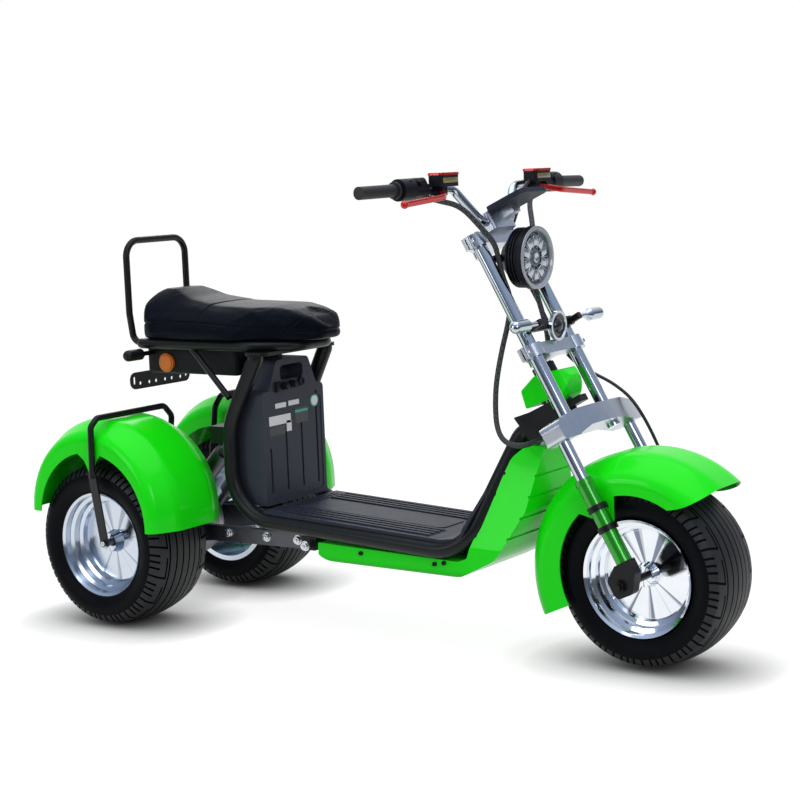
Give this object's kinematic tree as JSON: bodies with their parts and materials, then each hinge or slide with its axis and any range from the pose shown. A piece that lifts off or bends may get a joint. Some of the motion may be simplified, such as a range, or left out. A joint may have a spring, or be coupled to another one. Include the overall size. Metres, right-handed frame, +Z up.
{
  "type": "electric tricycle",
  "caption": "Step-through electric tricycle with fat tyres, a raked chrome fork, mudguards, a removable battery under a long padded seat and a backrest hoop.",
  "frame": {"origin": "centre of the bounding box's bottom, on the ground under the middle of the vehicle", "axes": "+X forward, +Y to the rider's left, +Z up"},
  "size_m": [1.8829, 0.9616, 1.1437],
  "materials": {
    "alloy": "satin",
    "amber": "gloss",
    "black_plastic": "matte",
    "black_steel": "satin",
    "chrome": "polished",
    "green_paint": "gloss",
    "grey_steel": "satin",
    "leather": "satin",
    "lens": "clear",
    "red_metal": "gloss",
    "rubber": "matte",
    "tyre": "matte"
  },
  "bodies": {
    "chassis": {"arm_pivot": "black_steel", "axle_beam": "grey_steel", "backrest_hoop": "black_steel", "battery": "black_plastic", "belly_cowl": "green_paint", "footboard": "black_plastic", "guard_hoop_left": "black_steel", "guard_hoop_right": "black_steel", "head_cover": "green_paint", "head_tube": "black_steel", "motor": "alloy", "plate_bracket": "black_steel", "rail_left": "black_steel", "rail_right": "black_steel", "rear_guard_left": "green_paint", "rear_guard_right": "green_paint", "rear_lamps": "black_plastic", "rear_shocks": "grey_steel", "seat": "leather", "seat_box": "black_plastic", "seat_frame": "black_steel", "seat_struts": "black_steel", "shock_tower": "black_steel", "side_reflectors": "amber", "trailing_arms": "grey_steel"},
    "steering": {"axle_lugs": "black_steel", "bar_clamp": "alloy", "brake_cylinders": "black_plastic", "brake_hose": "rubber", "display": "black_plastic", "front_caliper": "black_plastic", "front_guard": "green_paint", "front_lamps": "alloy", "grips": "rubber", "guard_bands": "black_steel", "handlebar": "chrome", "headlamp": "black_plastic", "headlamp_lens": "lens", "horn": "chrome", "lamp_bar": "black_steel", "left_loom": "rubber", "levers": "red_metal", "lower_bridge": "alloy", "lower_tubes": "chrome", "mid_clamp": "alloy", "reservoir_caps": "red_metal", "right_loom": "rubber", "sliders": "green_paint", "stem": "chrome", "switch_pods": "black_plastic", "top_clamp": "alloy", "upper_tubes": "chrome"},
    "front_wheel": {"front_disc": "grey_steel", "front_rim": "chrome", "front_tyre": "tyre"},
    "rear_right_wheel": {"rear_right_rim": "chrome", "rear_right_tyre": "tyre"},
    "rear_left_wheel": {"rear_left_rim": "chrome", "rear_left_tyre": "tyre"}
  },
  "joints": [
    {"name": "steering", "type": "hinge", "parent": "chassis", "child": "steering", "pos_m": [0.47166, 0, 0.62581], "axis": [-0.4894, 0, 0.8721], "range_deg": [-35, 35], "deforming": ["right_loom", "left_loom"]},
    {"name": "front_wheel_spin", "type": "hinge", "parent": "steering", "child": "front_wheel", "pos_m": [0.724, 0, 0.217], "axis": [0, 1, 0], "continuous": true},
    {"name": "rear_right_wheel_spin", "type": "hinge", "parent": "chassis", "child": "rear_right_wheel", "pos_m": [-0.706, -0.25, 0.217], "axis": [0, 1, 0], "continuous": true},
    {"name": "rear_left_wheel_spin", "type": "hinge", "parent": "chassis", "child": "rear_left_wheel", "pos_m": [-0.706, 0.25, 0.217], "axis": [0, 1, 0], "continuous": true}
  ]
}
